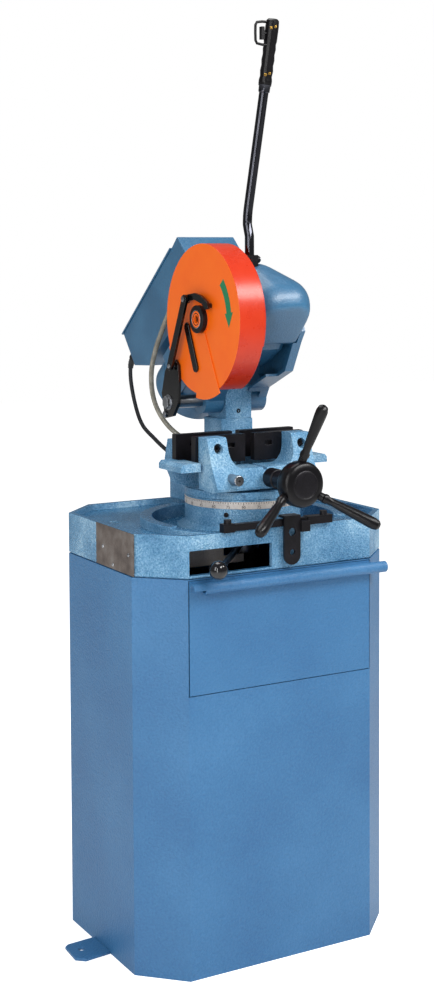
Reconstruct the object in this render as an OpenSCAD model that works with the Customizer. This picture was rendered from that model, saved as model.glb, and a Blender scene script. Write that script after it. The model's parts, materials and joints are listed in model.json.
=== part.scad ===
// Manual swivel-head cold saw for metal, on an eight-sided sheet-metal cabinet.
// Origin on the floor under the middle of the cabinet: X to the right, Y to the back, Z up.

/* [Cabinet] */
// Overall width of the cabinet
cabinet_w = 624; // [600:1:650]
// Overall depth of the cabinet
cabinet_d = 488; // [470:1:510]
// Height of the cabinet's sheet metal
cabinet_h = 840; // [800:1:860]
// Cut-off at each corner, along the width
corner_x = 87; // [70:1:100]
// Cut-off at each corner, along the depth
corner_y = 86; // [70:1:100]
// Thickness of the cabinet's sheet
sheet_t = 3; // [2:0.5:4]

/* [Tray] */
// Height of the cast chip tray
tray_h = 88; // [80:1:95]
// Wall thickness of the tray
tray_wall = 12; // [9:1:15]
// Inner radius of the raised collar round the turntable
collar_r = 200; // [195:1:205]

/* [Turntable] */
// Diameter of the turntable and of the vise bed's foot
turn_d = 254; // [250:1:258]
// How far the turntable stands in front of the cabinet's middle
turn_y = -80; // [-82:1:-78]

/* [Vise] */
// Height of the jaw plates
jaw_h = 60; // [56:1:62]
// Thickness of the jaw plates
jaw_t = 18; // [16:1:18]
// Distance between the jaws as drawn
vise_gap = 44; // [40:1:48]
// Diameter of the carriage's guide rods
guide_d = 23; // [20:1:25]
// Distance from the handwheel's axis to the end of each arm
arm_reach = 169; // [160:1:172]

/* [Blade and guard] */
// Diameter of the saw blade
blade_d = 315; // [300:1:315]
// Thickness of the saw blade
blade_t = 2.5; // [2:0.5:3]
// Outer diameter of the guard drum
drum_d = 334; // [330:1:336]
// Width of the guard drum
drum_w = 62; // [60:1:63]

/* [Head] */
// Height of the head's pivot above the floor
pivot_z = 1168; // [1166:1:1170]
// How far the head's pivot lies behind the cabinet's middle
pivot_y = 135; // [134:1:136]
// Height of the blade's axis above the floor
spindle_z = 1363; // [1362:1:1364]
// How far the blade's axis lies behind the cabinet's middle
spindle_y = -8; // [-9:1:-7]
// Number of teeth on the worm wheel
wheel_teeth = 38; // [30:1:40]
// Diameter of the motor's fan cover
motor_d = 176; // [170:1:178]
// Tilt of the motor and of the control box
motor_tilt = 39; // [38:1:40]

/* [Hidden] */
$fn = 96;

fit = 0.3;
slide_fit = 0.05;
far = 900;

// Colours
blue_sheet = "#4f86b5";
blue_cast = "#5d97c4";
black_part = "#1d1d20";
steel = "#b9bcc0";
stainless = "#8d8580";
orange = "#f26a1f";

// Cabinet and tray
half_w = cabinet_w / 2;
half_d = cabinet_d / 2;
front_y = -half_d;
tray_z = cabinet_h + 2.7;
rim_z = tray_z + tray_h;
floor_z = rim_z - 13.5;
floor_t = 11;
well_z = rim_z - 23;
collar_z = rim_z + 4;
collar_w = 26;
collar_open_left = 64;
collar_open_right = 52;
slot_x = [-222, -24];
slot_z = [tray_z + 5, tray_z + 56];
side_plate_y = [-167, 13];

// Front drawer with the coolant tank
door_x = half_w - corner_x - 2;
door_z = [599, cabinet_h - 2];
door_t = 3;
door_gap = 2;
lip_r = 12;
lip_over = 34;
tank_x = 205;
tank_y = [front_y + 4, 140];
tank_z = [616, 770];
rail_x = [tank_x + 1, tank_x + 16];

// Turntable
turn_r = turn_d / 2;
foot_r = turn_r + 18;
scale_z = [965, 980];
turn_top = 984;
arm_z = [rim_z + 8, turn_top];
post_r = 24;

// Vise
bed_z = 985;
bed_foot_top = 1000;
jaw_z = 1056;
jaw_top = jaw_z + jaw_h;
rear_face_y = -51;
front_face_y = rear_face_y - vise_gap;
ear_back_y = front_face_y - jaw_t;
rod_x_at = 86;
vise_axis_z = 1030;
jaw_half = 150;
blade_gap = 9;
// Floor of the carriage's notch, low enough for the guard drum
notch_z = 1050;
guide_y = [-215, -25];

// Column
col_x = [50, 134];
col_y = [100, 186];
col_top = 1125;
block_x = [61, 130];
shaft_r = 15;
boss_r = 31;

// Head
tilt_c = cos(motor_tilt);
tilt_s = sin(motor_tilt);
drive_x = 80;
wheel_r = 40;
worm_r = 13.5;
worm_gap = 56.5;
worm_y = spindle_y + worm_gap * tilt_s;
worm_z = spindle_z + worm_gap * tilt_c;
motor_r = motor_d / 2;
motor_s = [132, 312];
fan_s = [312.3, 364];

// Guard: angles are measured from straight down towards the front
drum_r = drum_d / 2;
drum_x = [-60, drum_w - 60];
drum_t = 2;
drum_open = [-62, 24.5];
flap_span = [-66, 27.5];
flap_bulge = [-8, 27.5];
flap_x = [-62.4, -60.6];
flap_arm_x = [-68, -62.7];
drum_arm_x = [-75, -69];
link_x = [-83, -76];
link_b = [107, 1253];
link_d = [34, 1407];
hub_bore_r = 14;

// Feed lever
socket = [55, -21, 1486];
kink = [57, -9, 1592];
rod_end = [78, -52, 1880];
grip_end = [88, -68, 2010];

// Power cable and coolant hose: points chosen along each route
cable_d = 10;
cable_route = [
  [20, 495, 1246], [20, 505, 1237.902], [20, 512, 1225], [20, 514, 1208], [20, 511, 1186], [20, 503, 1162],
  [20, 492, 1138], [20, 478, 1114], [20, 462, 1094], [20, 442, 1078], [20, 418, 1067], [21, 393, 1057],
  [24, 366, 1044], [30, 339, 1030], [38, 311, 1018], [49, 282, 1009], [60, 254, 1003], [70, 228, 1000],
  [76, 211, 1000], [76, 201, 1000]
];
hose_d = 12;
hose_route = [
  [0, 158.5, 1440], [0, 168, 1439], [-1, 178, 1433], [-3, 191, 1421], [-5, 206, 1406],
  [-6, 226, 1390], [-7, 250, 1368], [-8, 274, 1338], [-8, 294, 1312], [-8, 313, 1286], [-7, 331, 1258],
  [-5, 346, 1229], [0, 358, 1199], [7, 366, 1168], [17, 368, 1137], [30, 362, 1108], [45, 348, 1083],
  [61, 327, 1064], [77, 300, 1051], [91, 269, 1043], [100, 240, 1040], [104, 220, 1040], [104, 201, 1040]
];

// Solids along an axis
module rod_x(x0, x1, y, z, r) {
  translate([x0, y, z]) rotate([0, 90, 0]) cylinder(h = x1 - x0, r = r);
}
module rod_y(y0, y1, x, z, r) {
  translate([x, y0, z]) rotate([-90, 0, 0]) cylinder(h = y1 - y0, r = r);
}
module rod_z(z0, z1, x, y, r) {
  translate([x, y, z0]) cylinder(h = z1 - z0, r = r);
}
module block(x, y, z) {
  translate([x[0], y[0], z[0]]) cube([x[1] - x[0], y[1] - y[0], z[1] - z[0]]);
}
// Extrudes an outline drawn in Y and Z
module along_x(x) {
  translate([x[0], 0, 0]) rotate([90, 0, 90]) linear_extrude(x[1] - x[0]) children();
}
// Extrudes an outline drawn in X and Z
module along_y(y) {
  translate([0, y[1], 0]) rotate([90, 0, 0]) linear_extrude(y[1] - y[0]) children();
}
// Moves what is drawn along +Z onto the motor's axis, s millimetres from the worm
module on_motor(s = 0) {
  translate([drive_x, worm_y + s * tilt_c, worm_z - s * tilt_s]) rotate([-90 - motor_tilt, 0, 0]) children();
}
module octagon(inset) {
  w = half_w - inset;
  d = half_d - inset;
  cx = corner_x - 0.59 * inset;
  cy = corner_y - 0.59 * inset;
  polygon([
    [w, -d + cy], [w, d - cy], [w - cx, d], [-w + cx, d],
    [-w, d - cy], [-w, -d + cy], [-w + cx, -d], [w - cx, -d]
  ]);
}
// Wedge of the guard's face, in Y and Z round the spindle
function guard_point(r, a) = [spindle_y - r * sin(a), spindle_z - r * cos(a)];
module wedge(x, a, r = 400) {
  steps = ceil((a[1] - a[0]) / 30);
  along_x(x) polygon(concat(
    [[spindle_y, spindle_z]],
    [for (i = [0:steps]) guard_point(r, a[0] + (a[1] - a[0]) * i / steps)]
  ));
}
module ring_x(x, r_out, r_in) {
  difference() {
    rod_x(x[0], x[1], spindle_y, spindle_z, r_out);
    rod_x(x[0] - 1, x[1] + 1, spindle_y, spindle_z, r_in);
  }
}
// Flat bar with round ends, drawn in Y and Z
module bar_yz(x, a, b, w) {
  turn = atan2(b[1] - a[1], b[0] - a[0]);
  along_x(x) polygon(concat(
    [for (i = [0:10]) a + w / 2 * [cos(turn + 90 + 18 * i), sin(turn + 90 + 18 * i)]],
    [for (i = [0:10]) b + w / 2 * [cos(turn - 90 + 18 * i), sin(turn - 90 + 18 * i)]]
  ));
}
// Tube swept along a route's points
module sweep_tube(route, d, sides = 10) {
  n = len(route);
  dir = [for (i = [0:n - 1]) let (v = route[min(i + 1, n - 1)] - route[max(i - 1, 0)]) v / norm(v)];
  side = [for (i = [0:n - 1]) let (v = cross(dir[i], [1, 0.2, 0.1])) v / norm(v)];
  up = [for (i = [0:n - 1]) cross(dir[i], side[i])];
  rings = [for (i = [0:n - 1]) for (k = [0:sides - 1])
    route[i] + d / 2 * (cos(360 * k / sides) * side[i] + sin(360 * k / sides) * up[i])];
  wall = [for (i = [0:n - 2]) for (k = [0:sides - 1])
    let (a = i * sides + k, b = i * sides + (k + 1) % sides) [a, b, b + sides, a + sides]];
  caps = [[for (k = [0:sides - 1]) sides - 1 - k], [for (k = [0:sides - 1]) (n - 1) * sides + k]];
  polyhedron(points = rings, faces = concat(caps, wall), convexity = 6);
}

module cabinet() color(blue_sheet) {
  difference() {
    linear_extrude(cabinet_h) octagon(0);
    translate([0, 0, sheet_t]) linear_extrude(cabinet_h - 2 * sheet_t) octagon(sheet_t);
    translate([0, 0, cabinet_h - sheet_t - 1]) linear_extrude(10) octagon(45);
    block([-door_x - door_gap, door_x + door_gap], [front_y - 5, front_y + 5], [door_z[0] - door_gap, door_z[1]]);
    }
}

module floor_anchors() color(blue_sheet) {
  for (s = [-1, 1]) difference() {
    union() {
      linear_extrude(6) polygon([
        [s * (half_w - 2), -42], [s * (half_w + 62), -50], [s * (half_w + 80), -34],
        [s * (half_w + 76), 28], [s * (half_w + 66), 36], [s * (half_w - 2), 42]
      ]);
    }
    rod_z(-1, 10, s * (half_w + 50), 0, 7);
    linear_extrude(far) octagon(0);
  }
}

module drawer_rails() color(steel) for (s = [-1, 1]) {
  block(s < 0 ? [-rail_x[1], -rail_x[0]] : rail_x, [front_y + 8, 180], [tank_z[1] - 30, tank_z[1] - 12]);
  for (y = [-150, 110]) block(s < 0 ? [-half_w + sheet_t, -rail_x[1]] : [rail_x[1], half_w - sheet_t],
    [y, y + 30], [tank_z[1] - 24, tank_z[1] - 20]);
}

module coolant_tank() color(steel) difference() {
  union() {
    block([-tank_x, tank_x], tank_y, tank_z);
    block([-rail_x[1], rail_x[1]], tank_y, [tank_z[1] - 11.5, tank_z[1]]);
  }
  block([3 - tank_x, tank_x - 3], [tank_y[0] + 3, tank_y[1] - 3], [tank_z[0] + 3, tank_z[1] + 1]);
}

pump = [110, 60];
module coolant_pump() color(black_part) {
  rod_z(tank_z[0] + 12, tank_z[1] - 20, pump[0], pump[1], 26);
  rod_z(tank_z[1] - 20, tank_z[1] - 10, pump[0], pump[1], 40);
  block([pump[0] - 16, pump[0] + 16], [pump[1], tank_y[1] - 3], [tank_z[1] - 20, tank_z[1] - 14]);
  rod_z(tank_z[1] - 10, tank_z[1] + 56, pump[0], pump[1], 36);
}

module chip_tray() color(blue_cast) difference() {
  union() {
    difference() {
      translate([0, 0, tray_z]) linear_extrude(tray_h) octagon(0);
      translate([0, 0, tray_z - 1]) linear_extrude(floor_z - floor_t - tray_z + 1) octagon(tray_wall);
      translate([0, 0, floor_z]) linear_extrude(far) octagon(tray_wall);
    }
    translate([0, 0, cabinet_h]) linear_extrude(tray_z - cabinet_h + 1) difference() {
      octagon(4);
      octagon(tray_wall);
    }
    intersection() {
      rod_z(well_z - floor_t, collar_z, 0, turn_y, collar_r + collar_w);
      translate([0, 0, tray_z]) linear_extrude(far) octagon(0);
    }
  }
  intersection() {
    rod_z(well_z, far + 200, 0, turn_y, collar_r);
    translate([0, 0, tray_z]) linear_extrude(far) octagon(tray_wall);
  }
  rod_z(tray_z, far + 200, 0, turn_y, post_r + 0.01);
  collar_opening();
  block(slot_x, [front_y - 5, front_y + tray_wall + 4], slot_z);
  block([-half_w - 1, -half_w + 2], side_plate_y, [tray_z - 1, far + 200]);
  translate([-250, 50, tray_z]) cube([16, 26, far]);
}
// Front part of the collar's rim, cut down to the tray's rim
module collar_opening() {
  a = [-collar_open_left, collar_open_right];
  translate([0, 0, rim_z]) linear_extrude(50) polygon([
    [0, turn_y + 60],
    [600 * sin(a[0]), turn_y - 600 * cos(a[0])],
    [0, turn_y - 700],
    [600 * sin(a[1]), turn_y - 600 * cos(a[1])]
  ]);
}

module tray_side_plate() color(stainless) difference() {
  block([-half_w, -half_w + 2], side_plate_y, [tray_z, rim_z]);
  for (p = [[-21, 884], [-144, 884], [-70, 852]]) rod_x(-half_w - 1, -half_w + 3, p[0], p[1], 3);
}

module tray_slot_plate() color(stainless) {
  y = -132;
  difference() {
    block([slot_x[0] + 20, -28], [y, y + 2], [tray_z - 2, well_z - floor_t]);
    block([-78, 0], [y - 1, y + 3], [858, 900]);
  }
}

module base_post() color(steel) {
  rod_z(tray_z + 10, bed_z, 0, turn_y, post_r - slide_fit);
}

module vise_bed() color(blue_cast) difference() {
  union() {
    rod_z(bed_z, bed_foot_top, 0, turn_y, turn_r);
    along_x([-118, 118]) polygon([
      [-98, bed_foot_top - 1], [-98, 1018], [-70, jaw_z], [-12, jaw_z], [8, 1044], [20, bed_foot_top - 1]
    ]);
    for (s = [-1, 1]) {
      along_x(s < 0 ? [-jaw_half, -66] : [66, jaw_half])
        polygon([[-52, 1040], [-52, jaw_z], [-33, jaw_z], [-33, 1104], [-12, 1104], [2, 1060], [2, 1040]]);
      along_y([-138, -36]) polygon([
        [s * 110, 1044], [s * 184, 1044], [s * 184, 1056], [s * 178, 1062], [s * 136, 1062], [s * 136, 1050], [s * 110, 1050]
      ]);
      along_y([-62, -42]) polygon([[s * 110, 1045], [s * 170, 1045], [s * 156, 1012], [s * 110, bed_foot_top - 1]]);
    }
  }
  block([-136.2, 136.2], [-220, -62], [bed_foot_top, far + 300]);
  block([-jaw_half - fit, jaw_half + fit], [-63, -33], [jaw_z, far + 300]);
  block([-5, 5], [-110, 60], [1036, far + 300]);
  for (s = [-1, 1]) rod_y(-110, guide_y[1], s * rod_x_at, vise_axis_z, guide_d / 2);
  rod_y(-110, 30, 0, vise_axis_z, 10.2);
  translate([0, turn_y, bed_z - 1]) rotate([0, 0, -29.3]) translate([-4, -turn_r - 1, 0]) cube([8, 5, 12]);
}

module rear_jaw(s) color(black_part) difference() {
  block(s < 0 ? [-jaw_half, -blade_gap] : [blade_gap, jaw_half], [rear_face_y, rear_face_y + jaw_t - fit], [jaw_z + fit, jaw_top]);
  for (x = [45, 110]) rod_y(rear_face_y - 1, rear_face_y + jaw_t, s * x, jaw_z + 37, 5);
}
module rear_jaw_left() rear_jaw(-1);
module rear_jaw_right() rear_jaw(1);

module guide_rods() color(steel) {
  for (s = [-1, 1]) rod_y(guide_y[0], guide_y[1], s * rod_x_at, vise_axis_z, guide_d / 2 - 0.02);
}

carriage_profile = [
  [ear_back_y, 1004], [-176, 1002], [-195, 1006], [-197, 1012], [-171, jaw_z], [-152, jaw_top - 4],
  [-148, jaw_top], [ear_back_y, jaw_top]
];
module vise_carriage() color(blue_cast) difference() {
  along_x([-128, 128]) polygon(carriage_profile);
  along_y([-260, 0]) polygon([
    [-81, far + 300], [-81, 1084], [-78, 1070], [-69, 1057], [-58, notch_z], [58, notch_z], [69, 1057],
    [78, 1070], [81, 1084], [81, far + 300]
  ]);
  block([-5, 5], [-260, 0], [1044, far + 300]);
  for (s = [-1, 1]) {
    rod_y(-260, 0, s * rod_x_at, vise_axis_z, guide_d / 2 + slide_fit);
    rod_y(-260, 0, s * 104, 1093, 5);
    rod_y(-260, -141, s * 104, 1093, 11);
  }
  rod_y(-260, 0, 0, vise_axis_z, 10 + slide_fit);
}

module front_jaw(s) color(black_part) difference() {
  block(s < 0 ? [-136, -11.5] : [11.5, 136], [ear_back_y + fit, front_face_y], [jaw_z + fit, jaw_top]);
  rod_y(ear_back_y - 1, front_face_y + 1, s * 104, 1093, 5 + slide_fit);
  along_y([front_face_y - 30, front_face_y - 9]) {
    translate([s * 47, 1093]) circle(d = 10);
    translate([s * 47 - 9, 1088]) square([18, 10]);
  }
}
module front_jaw_left() front_jaw(-1);
module front_jaw_right() front_jaw(1);

module jaw_screws() color(black_part) for (s = [-1, 1]) difference() {
  union() {
    rod_y(-150, -141, s * 104, 1093, 8);
    rod_y(-141, front_face_y - 13, s * 104, 1093, 5);
  }
  translate([s * 104, -151, 1093]) rotate([-90, 30, 0]) cylinder(h = 6, r = 4.2, $fn = 6);
}

module stop_bar() color(black_part) {
  block([-146, 122], [front_y - 7, front_y + 7], [933, 947]);
  block([60, 122], [front_y - 9, front_y + 11], [rim_z, 948]);
  block([-146, -120], [front_y - 9, front_y + 9], [rim_z, 949]);
  for (x = [-132, 104]) rod_z(948, 957, x, front_y, 8);
}

module stop_bracket() color(black_part) difference() {
  union() {
    along_y([front_y - 14, front_y - 8]) {
      translate([-2, 870]) square([40, 84]);
      translate([18, 870]) circle(r = 20);
    }
    block([-2, 38], [front_y - 14, front_y + 12], [949.5, 955]);
    block([37, 59], [front_y - 20, front_y - 8], [919, 942]);
  }
  rod_y(front_y - 20, front_y, 18, 920, 8.5);
  rod_y(front_y - 20, front_y, 18, 877, 6);
}

module front_panel() color(blue_sheet) difference() {
  union() {
    block([-door_x, door_x], [front_y - 1, front_y + 2], [door_z[0], door_z[1] - 1]);
    block([-tank_x, tank_x], [front_y + 1, tank_y[0]], [tank_z[0] + 20, tank_z[1] - 20]);
    rod_x(-door_x, door_x + lip_over, front_y - lip_r, door_z[1] - lip_r - 4, lip_r);
    block([-door_x, door_x], [front_y - lip_r, front_y + 1], [door_z[1] - lip_r - 4, door_z[1] - 4]);
  }
  rod_x(-door_x - 5, door_x + lip_over + 5, front_y - lip_r, door_z[1] - lip_r - 4, lip_r - 3);
  block([-door_x - 5, 28 - door_x], [front_y - 40, front_y - 1], [door_z[1] - 40, door_z[1] - lip_r - 6]);
}

lock_tip = [-180, -290, 864];
lock_root = [0, turn_y, 872];
module lock_lever() color(steel) difference() {
  union() {
    rod_z(860, 884, 0, turn_y, 36);
    lock_rod();
  }
  rod_z(850, 900, 0, turn_y, post_r);
}
module lock_rod() {
  run = norm(lock_tip - lock_root);
  turn = atan2(lock_tip[1] - lock_root[1], lock_tip[0] - lock_root[0]);
  translate(lock_root) rotate([0, 0, turn]) rotate([0, 90 + asin(8 / run), 0])
    translate([0, 0, 30]) cylinder(h = run - 46, r = 7);
}
module lock_ball() color(black_part) difference() {
  translate(lock_tip) sphere(r = 20);
  lock_rod();
}

module turntable() color(blue_cast) difference() {
  union() {
    rod_z(well_z + fit, scale_z[0], 0, turn_y, turn_r);
    translate([0, turn_y, well_z + fit]) cylinder(h = 8, r = foot_r);
    translate([0, turn_y, well_z + fit + 8]) cylinder(h = 10, r1 = foot_r, r2 = turn_r);
    rod_z(scale_z[0], turn_top, 0, turn_y, turn_r - 3);
    rod_z(scale_z[1], turn_top, 0, turn_y, turn_r);
    block([-34, col_x[1] + 12], [-10, col_y[1] + 14], arm_z);
  }
  rod_z(far, far + 200, 0, turn_y, post_r);
}
module degree_scale() color(steel) difference() {
  rod_z(scale_z[0], scale_z[1], 0, turn_y, turn_r + 0.4);
  rod_z(scale_z[0] - 1, scale_z[1] + 1, 0, turn_y, turn_r - 3);
  block([-34, col_x[1] + 12], [-10, 200], [900, 1000]);
}

module column() color(blue_cast) difference() {
  union() {
    block(col_x, col_y, [turn_top, col_top]);
    block([col_x[0] - 8, col_x[1] + 8], [col_y[0] - 8, col_y[1] + 8], [turn_top, turn_top + 14]);
  }
  block([col_x[0] + 10, col_x[1] - 10], [col_y[0] + 10, col_y[1] - 10], [turn_top - 1, col_top - 20]);
}

module pivot_block() color(blue_cast) difference() {
  along_x(block_x) polygon([
    [col_y[0], col_top], [col_y[0], 1196], [108, 1202], [138, 1202], [178, 1166], [184, 1156], [184, col_top]
  ]);
  rod_x(0, 200, pivot_y, pivot_z, shaft_r);
}
module pivot_shaft() color(steel) rod_x(bracket_x[1], 180, pivot_y, pivot_z, shaft_r - slide_fit);

bracket_x = [-71, -63];
bracket_outline = [
  [88, 1256], [102, 1268], [124, 1264], [150, 1240], [168, 1186], [152, 1130], [112, 1138], [88, 1168], [84, 1222]
];
module linkage_bracket() color(black_part) difference() {
  along_x(bracket_x) polygon(bracket_outline);
  rod_x(-80, 0, pivot_y, pivot_z, 10);
}
module linkage_nut() color(steel) {
  rod_x(bracket_x[0], bracket_x[1], pivot_y, pivot_z, 9.9);
  translate([bracket_x[0] - 8, pivot_y, pivot_z]) rotate([0, 90, 0]) cylinder(h = 8, r = 15, $fn = 6);
  rod_x(bracket_x[0] - 4, bracket_x[0], 148, 1140, 7);
  rod_x(-84, bracket_x[0], link_b[0], link_b[1], 5);
}
module cord_glands() color(black_part) {
  for (p = [[76, 1000, cable_d], [104, 1040, hose_d]]) difference() {
    union() {
      rod_y(col_y[1], col_y[1] + 6, p[0], p[1], p[2] / 2 + 7);
      rod_y(col_y[1] + 6, 201, p[0], p[1], p[2] / 2 + 3.5);
    }
    rod_y(196, 202, p[0], p[1], p[2] / 2 - 1);
    block([0, 200], [col_y[1] - 1, col_y[1] + 8], [turn_top, turn_top + 14]);
  }
}

// The head's right-hand arm, which goes down beside the jaws, in Y and Z
plate_x = [152, 174];
arm_plate = [
  [-66, 1332], [-50, 1308], [-13, 1239], [90, 1195], [122, 1140], [150, 1140], [166, 1168],
  [158, 1200], [120, 1262], [96, 1330], [60, 1360], [-50, 1366]
];
pocket = [[-38, 1303], [-5, 1246], [86, 1207], [104, 1226], [86, 1303]];
// The gear housing's lower limit in Y and Z
hood_x = [14, 162];
hood_z = 1304;
hood_outline = [
  [-250, 1600], [-200, 1464], [-47.3, hood_z], [62, hood_z], [90, 1250], [260, 1250], [260, 1600]
];
module head_casting() color(blue_cast) difference() {
  union() {
    along_x([18, 58]) polygon([
      [-40, 1330], [-20, 1276], [60, 1222], [104, 1168], [122, 1140], [150, 1140], [166, 1168], [158, 1200],
      [120, 1262], [96, 1330]
    ]);
    along_x(plate_x) polygon(arm_plate);
    along_x([57, 134]) polygon([[-40, 1330], [-16, 1290], [60, 1248], [82, 1262], [96, 1290], [96, 1330]]);
    rod_x(12, 60 - fit, pivot_y, pivot_z, boss_r);
    rod_x(131, plate_x[1], pivot_y, pivot_z, boss_r);
    along_x([120, plate_x[0] + 1]) polygon([[16, 1226.5], [90, 1195], [95, 1186], [98, 1190], [94, 1200], [18, 1232]]);
    along_x([133, plate_x[0] + 1]) polygon([[-36, 1330], [0, 1290], [64, 1252], [92, 1290], [84, 1340]]);
  }
  along_x([plate_x[0] - 1, plate_x[1] - 8]) polygon(pocket);
  along_x(hood_x) polygon(hood_outline);
  rod_x(hood_x[1], plate_x[1] + 1, spindle_y, spindle_z + 14, 46);
  rod_x(0, 200, pivot_y, pivot_z, shaft_r);
  on_motor(motor_s[0] - fit) cylinder(h = 110, r = motor_r);
  motor_foot();
  gear_space();
}
// Flat foot under the motor
module motor_foot() {
  on_motor(motor_s[0] + 30) translate([-40, -motor_r - 2.5, 0]) cube([80, 16, 110]);
}
// Room for the worm wheel, the worm and the spindle
module gear_space() {
  rod_x(54, 106, spindle_y, spindle_z, wheel_r + 4);
  on_motor(-58) cylinder(h = 196, r = worm_r + 5);
  rod_x(0, 170, spindle_y, spindle_z, 26);
}
module gear_housing() color(blue_cast) difference() {
  intersection() {
    hull() {
      translate([74, -8, 1412]) sphere(r = 74, $fn = 32);
      translate([112, -64, 1388]) sphere(r = 66, $fn = 32);
      translate([80, -62, 1388]) sphere(r = 65, $fn = 32);
      translate([110, 60, 1396]) sphere(r = 68, $fn = 32);
      translate([80, 50, 1420]) sphere(r = 66, $fn = 32);
      on_motor(110) cylinder(h = motor_s[0] - 110, r = 70, $fn = 32);
      block([hood_x[0] + 3, hood_x[1]], [-62, 62], [hood_z, hood_z + 3]);
    }
    along_x(hood_x) polygon(hood_outline);
  }
  gear_space();
  on_motor(125) cylinder(h = 40, r = 60);
  on_motor(motor_s[0] - fit) cylinder(h = 60, r = motor_r);
  translate([socket[0] - 15, socket[1] - 13, 1474]) cube([30, 26, 60]);
  rod_z(1474, 1540, socket[0], socket[1], 15);
}
module gear_cover() color(blue_cast) difference() {
  union() {
    rod_x(162, 168, spindle_y, spindle_z + 14, 46);
    rod_x(168, 174, spindle_y, spindle_z + 14, 30);
  }
  block([150, 200], [-100, 100], [1300, 1330]);
  rod_x(150, 172, spindle_y, spindle_z, 13);
}
module spindle_bearings() color(steel) {
  for (x = [[22, 42], [120, 138]]) difference() {
    rod_x(x[0], x[1], spindle_y, spindle_z, 26);
    rod_x(x[0] - 1, x[1] + 1, spindle_y, spindle_z, 15 + slide_fit);
  }
  for (s = [-57, 44]) difference() {
    on_motor(s) cylinder(h = 14, r = worm_r + 5);
    on_motor(s - 1) cylinder(h = 16, r = 9);
  }
}

module motor_frame() color(blue_cast) difference() {
  union() {
    on_motor(motor_s[0]) cylinder(h = motor_s[1] - motor_s[0], r = motor_r - 8);
    on_motor(motor_s[0]) cylinder(h = 12, r = motor_r - 2);
    on_motor(motor_s[1] - 10) cylinder(h = 10, r = motor_r - 2);
    motor_foot();
  }
  on_motor(motor_s[0] - 1) cylinder(h = motor_s[1] - motor_s[0] - 9, r = 62);
  on_motor(motor_s[0] - 1) cylinder(h = 300, r = 9);
  rod_x(-20, 12, spindle_y, spindle_z, blade_d / 2 + 14);
}
module motor_fan_cover() color(blue_cast) difference() {
  on_motor(fan_s[0]) cylinder(h = fan_s[1] - fan_s[0], r = motor_r);
  on_motor(fan_s[0] - 1) cylinder(h = fan_s[1] - fan_s[0] - 2, r = motor_r - 3);
}
module terminal_box() color(blue_cast) difference() {
  on_motor(200) translate([-motor_r - 12, -36, 0]) cube([24, 72, 70]);
  on_motor(190) cylinder(h = 90, r = motor_r - 8);
}

box_x = [8, 162];
box_outline = [
  [236, 1548], [272, 1514], [527, 1307], [465, 1231], [384, 1235], [201, 1383], [176, 1470], [196, 1512]
];
module control_box() color(blue_cast) difference() {
  along_x(box_x) polygon(box_outline);
  along_x([box_x[0] + 2, box_x[1] - 2]) polygon([
    [272, 1511], [524, 1307], [464, 1234], [386, 1238], [210, 1380], [200, 1480]
  ]);
  on_gland(9, 30);
}
module control_box_lid() color(blue_cast) {
  along_x([box_x[0] - 3, box_x[1] + 3]) polygon([[269, 1522.5], [533, 1307.5], [531.5, 1304.5], [527.3, 1307.3], [272.3, 1514.4], [267, 1519.5]]);
}
// The power cable's gland, in line with the cable's first stretch
module on_gland(r, h) {
  translate(cable_route[0]) rotate([-90 - motor_tilt, 0, 0]) translate([0, 0, -h]) cylinder(h = h - fit, r = r);
}
module box_gland() color(black_part) {
  on_gland(9, 26);
  on_gland(12, 13.7);
}

module fixed_guard() color(orange) difference() {
  union() {
    intersection() {
      union() {
        ring_x([-57.4, -55.4], drum_r - 4, hub_bore_r);
        ring_x([-56, 4], drum_r - 2.8, drum_r - 4.8);
        ring_x([4, 7], drum_r - 4, 62);
      }
      wedge([-60, 10], [70, 285]);
    }
    ring_x([-57.4, -55.4], 34, hub_bore_r);
    block([6, 18], [106, 157.5], [1432, 1448]);
    block([-7, 7], [148, 157.5], [1432, 1448]);
  }
}
module guard_hub() color(black_part) {
  ring_x([-75, -62.8], 31, hub_bore_r - 1);
  difference() {
    rod_x(-70, -57.4, spindle_y, spindle_z, hub_bore_r - slide_fit);
    rod_x(-90, -50, spindle_y, spindle_z, 9);
  }
}

module lever_socket() color(black_part) difference() {
  union() {
    translate([socket[0] - 15, socket[1] - 13, 1474]) cube([30, 26, 30]);
    rod_z(1474, 1504, socket[0], socket[1], 15);
    rod_x(socket[0] + 14, socket[0] + 24, socket[1], 1494, 8);
  }
  lever_length(socket + [0, 0, 18], kink, 10.5);
}
module lever_rod() color(black_part) {
  lever_length(socket + [0, 0, 18], kink, 10.5);
  translate(kink) sphere(r = 11);
  lever_length(kink, rod_end, 10.5);
}
module lever_length(a, b, r) {
  v = b - a;
  translate(a) rotate([0, acos(v[2] / norm(v)), atan2(v[1], v[0])]) cylinder(h = norm(v), r = r);
}
loop_z = [1962, 2018];
module lever_grip() color(black_part) difference() {
  union() {
    lever_length(rod_end, grip_end, 15);
    translate(grip_end) sphere(r = 15.5);
    for (z = [loop_z[0], loop_z[1] - 6]) block([grip_end[0] - 46, grip_end[0]], [-74, -60], [z, z + 6]);
    block([grip_end[0] - 46, grip_end[0] - 40], [-74, -60], loop_z);
  }
  rod_x(grip_end[0] - 20, grip_end[0] + 2, -67, 1990, 3 + slide_fit);
  lever_length(kink, rod_end, 10.5);
}
module trigger() color(black_part) {
  block([grip_end[0] - 30, grip_end[0] - 22], [-72, -62], [1976, 2004]);
  rod_x(grip_end[0] - 23, grip_end[0] - 3, -67, 1990, 3);
}

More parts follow.
